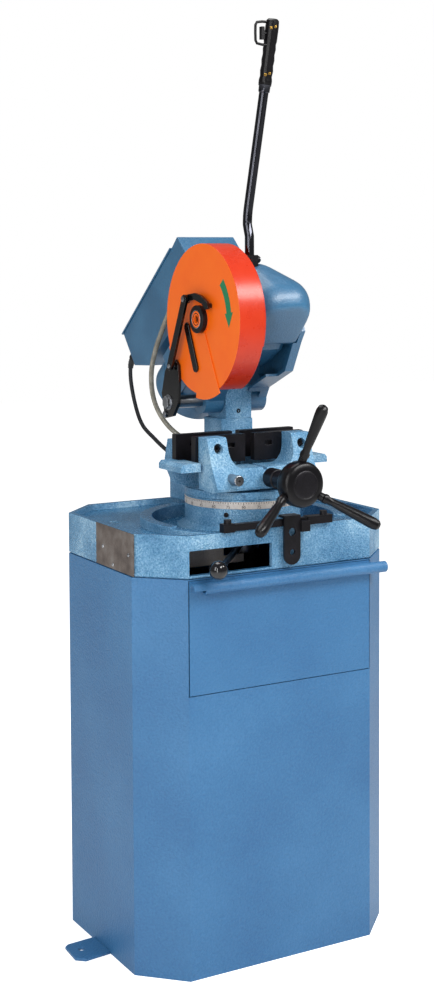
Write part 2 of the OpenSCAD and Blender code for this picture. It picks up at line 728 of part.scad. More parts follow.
module spindle() color(steel) difference() {
  union() {
    rod_x(-30, -12.5, spindle_y, spindle_z, 11);
    rod_x(-12.5, 20, spindle_y, spindle_z, 15.9);
    rod_x(20, 140, spindle_y, spindle_z, 15);
  }
}
module worm_wheel() color("#b08d4a") difference() {
  ring_x([62, 98], wheel_r, 15);
  for (i = [0:wheel_teeth - 1]) translate([61, spindle_y, spindle_z]) rotate([i * 360 / wheel_teeth, 0, 0])
    translate([0, wheel_r - 3.5, -1.5]) cube([38, 6, 3]);
}
module saw_blade() color("#9a9ca0") difference() {
  rod_x(-blade_t / 2, blade_t / 2, spindle_y, spindle_z, blade_d / 2);
  rod_x(-10, 10, spindle_y, spindle_z, 16);
  for (i = [0:79]) translate([-3, spindle_y, spindle_z]) rotate([i * 4.5, 0, 0])
    translate([0, blade_d / 2 - 5, -2]) rotate([35, 0, 0]) cube([6, 12, 4]);
}
module blade_flanges() color(steel) {
  ring_x([-12.5, -blade_t / 2], 45, 16);
  ring_x([blade_t / 2, 12.5], 45, 16);
  difference() {
    translate([-30, spindle_y, spindle_z]) rotate([0, 90, 0]) cylinder(h = 17.5, r = 22, $fn = 6);
    rod_x(-31, -10, spindle_y, spindle_z, 11);
  }
}
module worm_shaft() color(steel) {
  on_motor(-57) cylinder(h = 18, r = 9 - slide_fit);
  on_motor(-40) cylinder(h = 80, r = worm_r);
  on_motor(40) cylinder(h = 115, r = 9 - slide_fit);
  on_motor(150) cylinder(h = 140, r = 45);
  on_motor(290) cylinder(h = 50, r = 9 - slide_fit);
  on_motor(320) cylinder(h = 24, r = 60);
}

module guard_drum() color(orange) difference() {
  union() {
    ring_x([drum_x[0], drum_x[0] + drum_t], drum_r, hub_bore_r);
    ring_x(drum_x, drum_r, drum_r - drum_t);
  }
  wedge([-80, 40], drum_open);
}
// Cranked arm on the drum's face, in Y and Z
drum_arm_outline = [
  [45, 1404], [41, 1413], [32, 1417], [-3, 1421], [-28, 1416], [-54, 1403], [-61, 1395], [-60, 1387],
  [-51, 1385], [-32, 1398], [0, 1406], [26, 1402], [34, 1397], [42, 1398]
];
module drum_arm() color(black_part) {
  along_x(drum_arm_x) polygon(drum_arm_outline);
  rod_x(drum_arm_x[0], drum_x[0], -50, 1394, 5);
  rod_x(link_x[1] + 0.4, drum_arm_x[0], link_d[0], link_d[1], 7);
}
module guard_flap() color(orange) difference() {
  intersection() {
    union() {
      ring_x(flap_x, drum_r, hub_bore_r);
      intersection() {
        ring_x(flap_x, drum_r + 11, hub_bore_r);
        wedge([-80, 0], flap_bulge);
      }
    }
    union() {
      wedge([-80, 0], flap_span);
      rod_x(-80, 0, spindle_y, spindle_z, 31);
    }
  }
}
module flap_arm() color(black_part) {
  bar_yz(flap_arm_x, [52, 1344], [12, 1254], 20);
}
module guard_link() color(black_part) difference() {
  union() {
    bar_yz(link_x, link_b, link_d, 20);
    rod_x(link_x[0] - 3, link_x[0], link_d[0], link_d[1], 8);
  }
  rod_x(link_x[0] - 1, link_x[1] + 1, link_b[0], link_b[1], 5 + slide_fit);
}

wheel_y = [-340, -285];
module vise_screw() color(steel) {
  rod_y(wheel_y[0] + 20, 26, 0, vise_axis_z, 10);
  rod_y(-262, -232, 0, vise_axis_z, 19);
  rod_y(-232, -200, 0, vise_axis_z, 21);
}
module handwheel() color(black_part) {
  difference() {
    rod_y(wheel_y[0], wheel_y[1], 0, vise_axis_z, 48);
    rod_y(wheel_y[0] + 20, wheel_y[1] + 1, 0, vise_axis_z, 10);
  }
  for (a = [88, -32, 208]) {
    tip = [arm_reach * cos(a), -398, vise_axis_z + arm_reach * sin(a)];
    root = [40 * cos(a), -316, vise_axis_z + 40 * sin(a)];
    run = tip - root;
    translate(root) rotate([0, acos(run[2] / norm(run)), atan2(run[1], run[0])])
      cylinder(h = norm(run), r1 = 8, r2 = 13);
  }
}

module power_cable() color(black_part) sweep_tube(cable_route, cable_d);
module coolant_hose() color("#9b948a") sweep_tube(hose_route, hose_d);

cabinet();
floor_anchors();
drawer_rails();
coolant_tank();
coolant_pump();
chip_tray();
tray_side_plate();
tray_slot_plate();
base_post();
vise_bed();
rear_jaw_left();
rear_jaw_right();
guide_rods();
stop_bar();
front_panel();
stop_bracket();
lock_lever();
lock_ball();
turntable();
degree_scale();
column();
pivot_block();
pivot_shaft();
linkage_bracket();
linkage_nut();
cord_glands();
head_casting();
gear_housing();
gear_cover();
spindle_bearings();
motor_frame();
motor_fan_cover();
terminal_box();
control_box();
control_box_lid();
box_gland();
fixed_guard();
guard_hub();
lever_socket();
lever_rod();
lever_grip();
trigger();
spindle();
worm_wheel();
saw_blade();
blade_flanges();
worm_shaft();
guard_drum();
drum_arm();
guard_flap();
flap_arm();
guard_link();
vise_carriage();
front_jaw_left();
front_jaw_right();
jaw_screws();
vise_screw();
handwheel();
power_cable();
coolant_hose();
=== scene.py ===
"""Looks for the manual cold saw: finishes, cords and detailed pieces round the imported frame."""

import json
import math

import bmesh
import bpy
from mathutils import Matrix, Vector

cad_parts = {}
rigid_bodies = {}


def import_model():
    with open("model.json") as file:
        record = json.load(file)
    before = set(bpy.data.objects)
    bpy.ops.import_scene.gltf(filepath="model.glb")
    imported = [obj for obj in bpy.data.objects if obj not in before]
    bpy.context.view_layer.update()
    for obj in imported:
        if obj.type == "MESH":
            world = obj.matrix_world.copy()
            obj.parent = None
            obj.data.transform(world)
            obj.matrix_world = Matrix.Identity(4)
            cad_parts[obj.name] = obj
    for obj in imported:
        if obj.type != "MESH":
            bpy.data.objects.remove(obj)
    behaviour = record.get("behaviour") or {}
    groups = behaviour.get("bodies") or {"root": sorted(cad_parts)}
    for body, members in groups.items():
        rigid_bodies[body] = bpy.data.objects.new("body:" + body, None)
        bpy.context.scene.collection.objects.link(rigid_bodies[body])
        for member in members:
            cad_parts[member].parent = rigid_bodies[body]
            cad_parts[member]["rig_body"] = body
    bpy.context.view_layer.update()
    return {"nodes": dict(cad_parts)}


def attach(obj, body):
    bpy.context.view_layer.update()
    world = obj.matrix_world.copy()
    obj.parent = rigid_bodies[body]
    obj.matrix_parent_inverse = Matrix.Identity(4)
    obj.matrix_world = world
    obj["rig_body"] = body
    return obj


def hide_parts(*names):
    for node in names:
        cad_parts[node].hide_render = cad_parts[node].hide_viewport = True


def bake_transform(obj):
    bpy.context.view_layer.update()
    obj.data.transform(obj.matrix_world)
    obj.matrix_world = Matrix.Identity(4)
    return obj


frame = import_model()

MM = 0.001
UP = Vector((0, 0, 1))

# Places that the solids fix, in metres
PIVOT = Vector((0, 0.135, 1.168))
SPINDLE = Vector((0, -0.008, 1.363))
TURN = Vector((0, -0.080, 0.0))
VISE_AXIS_Z = 1.030
DRIVE_X = 0.080
TILT = math.radians(39)
MOTOR_DIR = Vector((0, math.cos(TILT), -math.sin(TILT)))
WORM_ABOVE = 0.0565
WORM = Vector((DRIVE_X, SPINDLE.y + WORM_ABOVE * math.sin(TILT), SPINDLE.z + WORM_ABOVE * math.cos(TILT)))


# Camera at the photograph's place
PHOTO_HIGH = 1000
FOCAL_PX = 1559.8
HORIZON_PX = 339.3
SENSOR = 36.0
CAMERA_AT = (-1.7210, -3.0251, 1.4987)
CAMERA_YAW_DEG = 29.385
CAMERA_PITCH_DEG = 3.0
CAMERA_ROLL_DEG = -0.2945


def photo_camera():
    """The camera, with its shift in place of a steeper pitch, so that upright edges stay upright."""
    yaw, pitch, roll = (math.radians(a) for a in (CAMERA_YAW_DEG, CAMERA_PITCH_DEG, CAMERA_ROLL_DEG))
    forward = Vector((math.sin(yaw) * math.cos(pitch), math.cos(yaw) * math.cos(pitch), -math.sin(pitch)))
    level = Vector((math.cos(yaw), -math.sin(yaw), 0))
    right = level * math.cos(roll) + level.cross(forward) * math.sin(roll)
    lens = bpy.data.cameras.new("photo_camera")
    lens.sensor_fit = "VERTICAL"
    lens.sensor_height = SENSOR
    lens.lens = FOCAL_PX / PHOTO_HIGH * SENSOR
    lens.shift_y = (HORIZON_PX - PHOTO_HIGH / 2) / PHOTO_HIGH
    camera = bpy.data.objects.new("photo_camera", lens)
    bpy.context.scene.collection.objects.link(camera)
    turn = Matrix((right, right.cross(forward), -forward)).transposed().to_4x4()
    camera.matrix_world = Matrix.Translation(CAMERA_AT) @ turn
    bpy.context.scene.camera = camera


photo_camera()


# Materials
def linear(hex_colour):
    """An sRGB hex value as the linear colour that a socket takes."""
    parts = [int(hex_colour[i:i + 2], 16) / 255 for i in (1, 3, 5)]
    return [p / 12.92 if p <= 0.04045 else ((p + 0.055) / 1.055) ** 2.4 for p in parts] + [1.0]


def add(tree, kind, settings=None, links=None):
    """Adds a node; settings go to its sockets or properties, and links join its sockets to other nodes'."""
    made = tree.nodes.new(kind)
    for name, value in (settings or {}).items():
        if isinstance(name, int) or name in made.inputs:
            made.inputs[name].default_value = value
        else:
            setattr(made, name, value)
    for name, source in (links or {}).items():
        tree.links.new(source, made.inputs[name])
    return made


def new_material(name, **shader):
    """A material with one Principled shader, whose sockets take the plain values given."""
    material = bpy.data.materials.new(name)
    material.use_nodes = True
    tree = material.node_tree
    principled = tree.nodes["Principled BSDF"]
    for socket, value in shader.items():
        principled.inputs[socket.replace("_", " ")].default_value = value
    place = tree.nodes.new("ShaderNodeTexCoord").outputs["Object"]
    return material, tree, principled, place


def ramp(tree, source, stops):
    """A colour ramp over source; stops are (position, hex colour)."""
    made = add(tree, "ShaderNodeValToRGB", links={"Fac": source})
    elements = made.color_ramp.elements
    while len(elements) < len(stops):
        elements.new(0.5)
    for element, (position, colour) in zip(elements, stops):
        element.position = position
        element.color = linear(colour)
    return made.outputs["Color"]


def grey(tree, source, low, high):
    """Source's 0 to 1 spread between two plain values, for a roughness."""
    made = add(tree, "ShaderNodeMapRange", {"To Min": low, "To Max": high}, {"Value": source})
    return made.outputs["Result"]


# How much of a mottled colour comes from its clouds and how much from its grain
CLOUD_SHARE = 0.55
GRAIN_SHARE = 0.45


def mottled(name, stops, grain_mm, depth_mm, rough, strength=0.6, clouds_mm=90.0, **shader):
    """Paint or skin with soft cloudy colour and a grain of the given size and depth."""
    material, tree, principled, place = new_material(name, **shader)
    clouds = add(
        tree, "ShaderNodeTexNoise", {"Scale": 1 / (clouds_mm * MM), "Detail": 4.0}, {"Vector": place}
    ).outputs["Fac"]
    grain = add(
        tree, "ShaderNodeTexNoise", {"Scale": 1 / (grain_mm * MM), "Detail": 3.0, "Roughness": 0.6},
        {"Vector": place},
    ).outputs["Fac"]
    specks = add(tree, "ShaderNodeMath", {"operation": "MULTIPLY", 1: GRAIN_SHARE}, {0: grain}).outputs[0]
    tone = add(
        tree, "ShaderNodeMath", {"operation": "MULTIPLY_ADD", 1: CLOUD_SHARE}, {0: clouds, 2: specks}
    ).outputs[0]
    tree.links.new(ramp(tree, tone, stops), principled.inputs["Base Color"])
    tree.links.new(grey(tree, grain, *rough), principled.inputs["Roughness"])
    bump = add(tree, "ShaderNodeBump", {"Strength": strength, "Distance": depth_mm * MM}, {"Height": grain})
    tree.links.new(bump.outputs["Normal"], principled.inputs["Normal"])
    return material


def textured_sheet_enamel():
    # Baked enamel over sheet steel: orange peel that breaks the highlight into small flecks
    return mottled(
        "textured_sheet_enamel", [(0.36, "#34699a"), (0.50, "#3b73a3"), (0.64, "#447cac")],
        grain_mm=5, depth_mm=2.6, rough=(0.3, 0.44), strength=0.9, clouds_mm=260,
    )


def hammered_casting_enamel():
    # Sprayed hammer finish on a sand casting: a paler blue than the sheet, partly as painted light, and its
    # brightest specks are painted highlights on the crests of the grain
    return mottled(
        "hammered_casting_enamel",
        [(0.36, "#3d749d"), (0.45, "#5990b8"), (0.55, "#78abd0"), (0.64, "#aad2ea")],
        grain_mm=3.6, depth_mm=5.0, rough=(0.16, 0.3), strength=1.0, clouds_mm=110,
    )


def painted_shade_floor_enamel():
    # The tray's floor: the same enamel painted darker as shade on its upward faces
    return mottled(
        "painted_shade_floor_enamel", [(0.36, "#28597c"), (0.50, "#33678c"), (0.66, "#447aa0")],
        grain_mm=7, depth_mm=1.6, rough=(0.18, 0.34), strength=0.6, clouds_mm=90,
    )


def gloss_casting_enamel():
    # The head's castings are filled and sprayed smooth, so they hold one broad highlight
    return mottled(
        "gloss_casting_enamel", [(0.36, "#235a7e"), (0.50, "#2b648a"), (0.64, "#387298")],
        grain_mm=4, depth_mm=1.4, rough=(0.34, 0.48), strength=0.7, clouds_mm=120,
        Coat_Weight=0.7, Coat_Roughness=0.3,
    )


def guard_enamel():
    # Gloss orange enamel on rolled sheet: clean, with faint ripples from rolling
    return mottled(
        "guard_enamel", [(0.3, "#f8650c"), (0.5, "#fb6d0f"), (0.72, "#fc7312")],
        grain_mm=40, depth_mm=0.6, rough=(0.28, 0.4), strength=0.25, clouds_mm=150,
    )


def guard_rim_enamel():
    # The rim is turned away from the light: the same enamel painted darker and redder as shade
    return mottled(
        "guard_rim_enamel", [(0.3, "#bd2a0c"), (0.5, "#c6310f"), (0.72, "#ce3811")],
        grain_mm=40, depth_mm=0.6, rough=(0.22, 0.34), strength=0.25, clouds_mm=150,
    )


def black_enamel():
    # Gloss black enamel on the guard's bars and the linkage's plate
    return mottled(
        "black_enamel", [(0.3, "#050608"), (0.5, "#08090b"), (0.75, "#0d0e12")],
        grain_mm=30, depth_mm=0.2, rough=(0.1, 0.18), strength=0.15,
    )


def black_chrome():
    # Black chrome plate on the bent feed lever: dark, with hard white streaks
    return mottled(
        "black_chrome", [(0.3, "#3e3f45"), (0.5, "#46474d"), (0.75, "#505158")],
        grain_mm=60, depth_mm=0.1, rough=(0.07, 0.12), strength=0.1, Metallic=1.0,
    )


def black_oxide_steel():
    # Blackened tool steel: dark, oily, with a fine machined tooth
    return mottled(
        "black_oxide_steel", [(0.3, "#0b090d"), (0.5, "#131116"), (0.75, "#201d24")],
        grain_mm=4, depth_mm=0.5, rough=(0.3, 0.46), strength=0.3, clouds_mm=30, Metallic=0.4,
    )


def moulded_black_plastic():
    # Moulded nylon with a spark-eroded grain
    return mottled(
        "moulded_black_plastic", [(0.3, "#060507"), (0.5, "#0a090c"), (0.75, "#110f13")],
        grain_mm=3, depth_mm=0.3, rough=(0.24, 0.36), strength=0.35, clouds_mm=40,
        Specular_IOR_Level=0.3,
    )


def gloss_phenolic():
    # Turned and polished phenolic ball
    return mottled(
        "gloss_phenolic", [(0.3, "#0b0b0d"), (0.6, "#131317")],
        grain_mm=20, depth_mm=0.1, rough=(0.06, 0.1), strength=0.1, Coat_Weight=0.5,
    )


# Brush lines, drawn coarser than real ones so that they show: width, how much longer they are, size of stains
BRUSH_MM = 1.2
BRUSH_STRETCH = 24.0
STAIN_MM = 30


def brushed_metal(name, stops, along, rough, depth_mm=0.15):
    """Bare metal with fine lines along one axis of the object."""
    material, tree, principled, place = new_material(name, Metallic=1.0)
    scale = [1.0, 1.0, 1.0]
    scale["XYZ".index(along)] = 1 / BRUSH_STRETCH
    lines = add(tree, "ShaderNodeMapping", {"Scale": scale}, {"Vector": place}).outputs["Vector"]
    grain = add(
        tree, "ShaderNodeTexNoise", {"Scale": 1 / (BRUSH_MM * MM), "Detail": 2.0}, {"Vector": lines}
    ).outputs["Fac"]
    clouds = add(
        tree, "ShaderNodeTexNoise", {"Scale": 1 / (STAIN_MM * MM), "Detail": 3.0}, {"Vector": place}
    ).outputs["Fac"]
    tree.links.new(ramp(tree, clouds, stops), principled.inputs["Base Color"])
    tree.links.new(grey(tree, grain, *rough), principled.inputs["Roughness"])
    bump = add(tree, "ShaderNodeBump", {"Strength": 0.35, "Distance": depth_mm * MM}, {"Height": grain})
    tree.links.new(bump.outputs["Normal"], principled.inputs["Normal"])
    return material


def turned_steel():
    # Ground or turned steel with an oil film
    return brushed_metal(
        "turned_steel", [(0.3, "#8d9096"), (0.55, "#a9acb1"), (0.75, "#c2c4c8")], "Z", (0.22, 0.38)
    )


def brushed_stainless():
    # Thin stainless sheet, its brownish colour a painted reflection of the room
    return brushed_metal(
        "brushed_stainless", [(0.3, "#6f645e"), (0.5, "#8a7e77"), (0.75, "#a8a09a")], "Z", (0.12, 0.24),
        depth_mm=0.02,
    )


def stainless_painted_light():
    # Stainless sheet painted pale and warm as painted light, so that it stays bright in the shade of the slot
    return mottled(
        "stainless_painted_light", [(0.3, "#9b918b"), (0.5, "#b5aca6"), (0.75, "#cdc6c1")],
        grain_mm=3, depth_mm=0.1, rough=(0.4, 0.55), strength=0.2, clouds_mm=60, Metallic=0.25,
    )


def zinc_plated_sheet():
    # Zinc on folded sheet, dull and cloudy
    return brushed_metal("zinc_plated_sheet", [(0.3, "#8c9196"), (0.6, "#a7abb0")], "X", (0.38, 0.55))


def bearing_bronze():
    # Machined bronze of the worm wheel
    return brushed_metal("bearing_bronze", [(0.3, "#9a7436"), (0.6, "#b98f4a")], "X", (0.25, 0.4))


def brass_screw():
    # Plain brass screw heads on the grip
    return brushed_metal("brass_screw", [(0.3, "#b48a3c"), (0.6, "#d2ab5a")], "Z", (0.2, 0.3))


def ground_blade_steel():
    # Surface-ground blade: rings round the spindle
    material, tree, principled, place = new_material("ground_blade_steel", Metallic=1.0)
    centred = add(
        tree, "ShaderNodeMapping", {"Location": (0.0, -SPINDLE.y, -SPINDLE.z)}, {"Vector": place}
    ).outputs["Vector"]
    rings = add(
        tree, "ShaderNodeTexWave",
        {"wave_type": "RINGS", "rings_direction": "X", "Scale": 60.0, "Distortion": 1.5, "Detail": 2.0},
        {"Vector": centred},
    ).outputs["Fac"]
    tree.links.new(ramp(tree, rings, [(0.0, "#7d8085"), (1.0, "#9a9da2")]), principled.inputs["Base Color"])
    tree.links.new(grey(tree, rings, 0.25, 0.4), principled.inputs["Roughness"])
    return material


def dial_silver():
    # Satin-anodised dial band, warm grey all over as a painted reflection of the jaws
    return mottled(
        "dial_silver", [(0.3, "#b3aaa4"), (0.5, "#c9c2bc"), (0.75, "#ddd8d3")],
        grain_mm=5, depth_mm=0.2, rough=(0.35, 0.5), strength=0.2, clouds_mm=35, Metallic=0.1,
    )


def dial_ink():
    # Etched and ink-filled marks
    return mottled("dial_ink", [(0.3, "#101012"), (0.6, "#1a1a1d")], 3, 0.1, (0.5, 0.6), strength=0.1)


def arrow_green():
    # Screen-printed green arrow that shows which way the blade turns
    return mottled("arrow_green", [(0.3, "#15724a"), (0.6, "#1b8056")], 6, 0.02, (0.4, 0.5), strength=0.1)


def rubber_sheath():
    # Matt rubber cable sheath with a bloom of dust
    return mottled(
        "rubber_sheath", [(0.3, "#141619"), (0.5, "#1d2024"), (0.75, "#2b2f34")],
        grain_mm=3, depth_mm=0.2, rough=(0.5, 0.65), strength=0.2, clouds_mm=30,
    )


def yellowed_hose():
    # Clear PVC hose, stained by coolant: milky, with streaks along it
    return mottled(
        "yellowed_hose", [(0.3, "#7f7a6d"), (0.5, "#a39d8e"), (0.75, "#c9c3b3")],
        grain_mm=9, depth_mm=0.2, rough=(0.12, 0.22), strength=0.2, clouds_mm=24,
        Transmission_Weight=0.25,
    )


def dark_inside():
    # Unlit inside of a slot or bore
    return mottled("dark_inside", [(0.3, "#0a0b0d"), (0.6, "#101216")], 5, 0.1, (0.7, 0.8), strength=0.1)


FINISH = {make.__name__: make() for make in (
    textured_sheet_enamel, hammered_casting_enamel, painted_shade_floor_enamel, gloss_casting_enamel,
    guard_enamel, guard_rim_enamel, black_enamel, black_chrome, black_oxide_steel, moulded_black_plastic,
    gloss_phenolic, turned_steel, brushed_stainless, zinc_plated_sheet, bearing_bronze, brass_screw,
    ground_blade_steel, stainless_painted_light, dial_silver, dial_ink, arrow_green, rubber_sheath, yellowed_hose,
    dark_inside,
)}


# Making pieces
SAME_POINT = 1e-6  # metres within which two corners are one
FLAT_DEG = 0.4  # triangles that meet at less than this are one flat face
SHARP_DEG = 32  # edges that turn more than this stay sharp or get a rounding


def place_piece(name, mesh, body, finish, replaces=(), smooth_deg=None):
    """Links a mesh as a piece that rides on a body, with one finish."""
    piece = bpy.data.objects.new(name, mesh)
    bpy.context.scene.collection.objects.link(piece)
    mesh.materials.clear()
    mesh.materials.append(FINISH[finish])
    if smooth_deg is not None:
        mesh.shade_smooth()
        mesh.set_sharp_from_angle(angle=math.radians(smooth_deg))
    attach(piece, body)
    if replaces:
        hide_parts(*replaces)
    return piece


def mesh_of(bm, name):
    """A mesh of bm's faces, turned outwards; bm is used up."""
    bmesh.ops.recalc_face_normals(bm, faces=bm.faces)
    mesh = bpy.data.meshes.new(name)
    bm.to_mesh(mesh)
    bm.free()
    return mesh


def merged_copy(node):
    """A solid's loose triangles, joined where their corners meet."""
    bm = bmesh.new()
    bm.from_mesh(frame["nodes"][node].data)
    bmesh.ops.remove_doubles(bm, verts=bm.verts, dist=SAME_POINT)
    return bm


def dressed(node, finish, width_mm, join=True):
    """A copy of a solid with its edges rounded, which stands for it; join makes each flat face one face."""
    bm = merged_copy(node)
    if join:
        bmesh.ops.dissolve_limit(
            bm, angle_limit=math.radians(FLAT_DEG), verts=bm.verts, edges=bm.edges,
            use_dissolve_boundaries=False,
        )
    body = frame["nodes"][node]["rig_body"]
    piece = place_piece(node + "_dressed", mesh_of(bm, node), body, finish, [node], smooth_deg=SHARP_DEG)
    bevel = piece.modifiers.new("edges", "BEVEL")
    bevel.width = width_mm * MM
    bevel.segments = 2
    bevel.limit_method = "ANGLE"
    bevel.angle_limit = math.radians(SHARP_DEG)
    bevel.miter_outer = "MITER_ARC"
    bevel.use_clamp_overlap = True
    piece.modifiers.new("shade", "WEIGHTED_NORMAL").keep_sharp = True
    return piece


def bare_node(node, finish):
    """A solid that stays as it is, with a finish and its triangles joined."""
    solid = frame["nodes"][node]
    solid.data.materials.clear()
    solid.data.materials.append(FINISH[finish])
    solid.modifiers.new("weld", "WELD").merge_threshold = SAME_POINT


def on_axis(at, axis):
    """A frame at a place, whose Z lies along axis."""
    return Matrix.Translation(at) @ UP.rotation_difference(Vector(axis)).to_matrix().to_4x4()


def turned_bmesh(bm, profile, at, axis, steps=48):
    """Adds a turned shape; profile is (radius, height) in millimetres, height along axis from at."""
    lathe = bmesh.new()
    verts = [lathe.verts.new((r * MM, 0, h * MM)) for r, h in profile]
    edges = [lathe.edges.new(pair) for pair in zip(verts, verts[1:])]
    bmesh.ops.spin(
        lathe, geom=verts + edges, cent=(0, 0, 0), axis=UP, angle=2 * math.pi, steps=steps, use_merge=True
    )
    bmesh.ops.remove_doubles(lathe, verts=lathe.verts, dist=SAME_POINT)
    bmesh.ops.recalc_face_normals(lathe, faces=lathe.faces)
    bmesh.ops.transform(lathe, matrix=on_axis(at, axis), verts=lathe.verts)
    mesh = bpy.data.meshes.new("lathe")
    lathe.to_mesh(mesh)
    lathe.free()
    bm.from_mesh(mesh)
    bpy.data.meshes.remove(mesh)


def turned(name, profile, at, axis, body, finish, replaces=(), steps=48, smooth_deg=SHARP_DEG):
    """A turned piece on its own."""
    bm = bmesh.new()
    turned_bmesh(bm, profile, at, axis, steps)
    place_piece(name, mesh_of(bm, name), body, finish, replaces, smooth_deg)


def box_bmesh(bm, low, high, turn, round_mm=0.0):
    """Adds a block between two corners of the frame turn, in millimetres, with rounded edges."""
    low, high = Vector(low) * MM, Vector(high) * MM
    made = bmesh.ops.create_cube(bm, size=1.0)
    stretched = Matrix.Translation((low + high) / 2) @ Matrix.Diagonal((*(high - low), 1))
    bmesh.ops.transform(bm, matrix=turn @ stretched, verts=made["verts"])
    if round_mm:
        edges = list(dict.fromkeys(e for v in made["verts"] for e in v.link_edges))
        bmesh.ops.bevel(
            bm, geom=edges, offset=round_mm * MM, segments=2, profile=0.5, affect="EDGES", material=-1
        )


# Cords: the routes of the solids in millimetres, from the head to the column
CABLE_MM = 10
CABLE_ROUTE = [
    (20, 495, 1246), (20, 505, 1237.902), (20, 512, 1225), (20, 514, 1208), (20, 511, 1186), (20, 503, 1162),
    (20, 492, 1138), (20, 478, 1114), (20, 462, 1094), (20, 442, 1078), (20, 418, 1067), (21, 393, 1057),
    (24, 366, 1044), (30, 339, 1030), (38, 311, 1018), (49, 282, 1009), (60, 254, 1003), (70, 228, 1000),
    (76, 211, 1000), (76, 201, 1000),
]
HOSE_MM = 12
HOSE_ROUTE = [
    (0, 158.5, 1440), (0, 168, 1439), (-1, 178, 1433), (-3, 191, 1421), (-5, 206, 1406),
    (-6, 226, 1390), (-7, 250, 1368), (-8, 274, 1338), (-8, 294, 1312), (-8, 313, 1286), (-7, 331, 1258),
    (-5, 346, 1229), (0, 358, 1199), (7, 366, 1168), (17, 368, 1137), (30, 362, 1108), (45, 348, 1083),
    (61, 327, 1064), (77, 300, 1051), (91, 269, 1043), (100, 240, 1040), (104, 220, 1040), (104, 201, 1040),
]


# Points of the smooth line for each of the route's
BETWEEN = 4


def route_points(route):
    """A smooth line through the route's points, in metres."""
    points = [Vector(p) * MM for p in route]
    ends = [2 * points[0] - points[1]] + points + [2 * points[-1] - points[-2]]
    smooth = []
    for i in range(1, len(ends) - 2):
        a, b, c, d = ends[i - 1:i + 3]
        for k in range(BETWEEN):
            t = k / BETWEEN
            square, cube = (2 * a - 5 * b + 4 * c - d) * t ** 2, (3 * b - a - 3 * c + d) * t ** 3
            smooth.append(0.5 * (2 * b + (c - a) * t + square + cube))
    return smooth + [points[-1]]


# No part of a cord runs along this direction, so it gives each ring its start
ASKEW = Vector((1, 0.2, 0.1))


def tube_mesh(name, path, radii_mm, sides):
    """A closed tube of bridged rings along path, one for each radius."""
    bm = bmesh.new()
    rings = []
    for i, radius in enumerate(radii_mm):
        ahead = (path[min(i + 1, len(path) - 1)] - path[max(i - 1, 0)]).normalized()
        side = ahead.cross(ASKEW).normalized()
        turn = Matrix((side, ahead.cross(side), ahead)).transposed().to_4x4()
        made = bmesh.ops.create_circle(
            bm, segments=sides, radius=radius * MM, matrix=Matrix.Translation(path[i]) @ turn
        )
        rings.append([e for e in bm.edges if all(v in made["verts"] for v in e.verts)])
    for a, b in zip(rings, rings[1:]):
        bmesh.ops.bridge_loops(bm, edges=a + b)
    bmesh.ops.holes_fill(bm, edges=rings[0] + rings[-1], sides=sides)
    return mesh_of(bm, name)


def cord_mesh(name, path, diameter_mm, sides=16):
    """A tube of one thickness."""
    return tube_mesh(name, path, [diameter_mm / 2] * len(path), sides)


def free_cord(name, route, diameter_mm, node, finish):
    """A cord from the head to the turntable, drawn along a smooth line through its route."""
    path = route_points(route)
    mesh = cord_mesh(name, path, diameter_mm)
    piece = bpy.data.objects.new(name, mesh)
    bpy.context.scene.collection.objects.link(piece)
    mesh.materials.append(FINISH[finish])
    mesh.shade_smooth()
    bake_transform(piece)
    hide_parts(node)


free_cord("power_cable_sheath", CABLE_ROUTE, CABLE_MM, "power_cable", "rubber_sheath")
free_cord("coolant_hose_tube", HOSE_ROUTE, HOSE_MM, "coolant_hose", "yellowed_hose")


# Solids that keep their shape, with rounded edges: node, finish, width of the rounding in millimetres
DRESSED = [
    ("cabinet", "textured_sheet_enamel", 3.0), ("floor_anchors", "textured_sheet_enamel", 1.0),
    ("drawer_rails", "zinc_plated_sheet", 0.6), ("coolant_tank", "zinc_plated_sheet", 0.6),
    ("coolant_pump", "moulded_black_plastic", 3.0),
    ("tray_side_plate", "brushed_stainless", 0.4), ("tray_slot_plate", "stainless_painted_light", 0.4),
    ("base_post", "turned_steel", 0.8), ("vise_bed", "hammered_casting_enamel", 2.5),
    ("rear_jaw_left", "black_oxide_steel", 1.0), ("rear_jaw_right", "black_oxide_steel", 1.0),
    ("guide_rods", "turned_steel", 1.5), ("stop_bar", "black_oxide_steel", 1.0),
    ("front_panel", "textured_sheet_enamel", 0.8), ("stop_bracket", "black_oxide_steel", 1.0),
    ("lock_lever", "turned_steel", 1.0), ("turntable", "hammered_casting_enamel", 2.5),
    ("column", "hammered_casting_enamel", 3.0), ("pivot_block", "hammered_casting_enamel", 2.0),
    ("pivot_shaft", "turned_steel", 1.5), ("linkage_bracket", "black_enamel", 1.2),
    ("linkage_nut", "turned_steel", 1.0), ("cord_glands", "moulded_black_plastic", 1.0),
    ("head_casting", "gloss_casting_enamel", 4.0), ("gear_cover", "gloss_casting_enamel", 2.0),
    ("spindle_bearings", "turned_steel", 0.6), ("terminal_box", "gloss_casting_enamel", 2.0),
    ("control_box", "gloss_casting_enamel", 1.5), ("control_box_lid", "gloss_casting_enamel", 0.8),
    ("box_gland", "moulded_black_plastic", 1.0), ("fixed_guard", "guard_rim_enamel", 0.4),
    ("guard_hub", "black_oxide_steel", 1.2), ("lever_socket", "black_oxide_steel", 1.5),
    ("trigger", "moulded_black_plastic", 1.5), ("spindle", "turned_steel", 0.8),
    ("blade_flanges", "turned_steel", 1.0), ("worm_shaft", "turned_steel", 0.8),
    ("drum_arm", "black_enamel", 1.5), ("flap_arm", "black_enamel", 1.5),
    ("guard_link", "black_enamel", 1.5),
    ("vise_carriage", "hammered_casting_enamel", 3.0), ("front_jaw_left", "black_oxide_steel", 1.0),
    ("front_jaw_right", "black_oxide_steel", 1.0), ("jaw_screws", "black_oxide_steel", 0.8),
    ("vise_screw", "black_oxide_steel", 1.5), ("guard_flap", "guard_enamel", 0.3),
    ("motor_frame", "gloss_casting_enamel", 2.0), ("motor_fan_cover", "gloss_casting_enamel", 3.0),
]
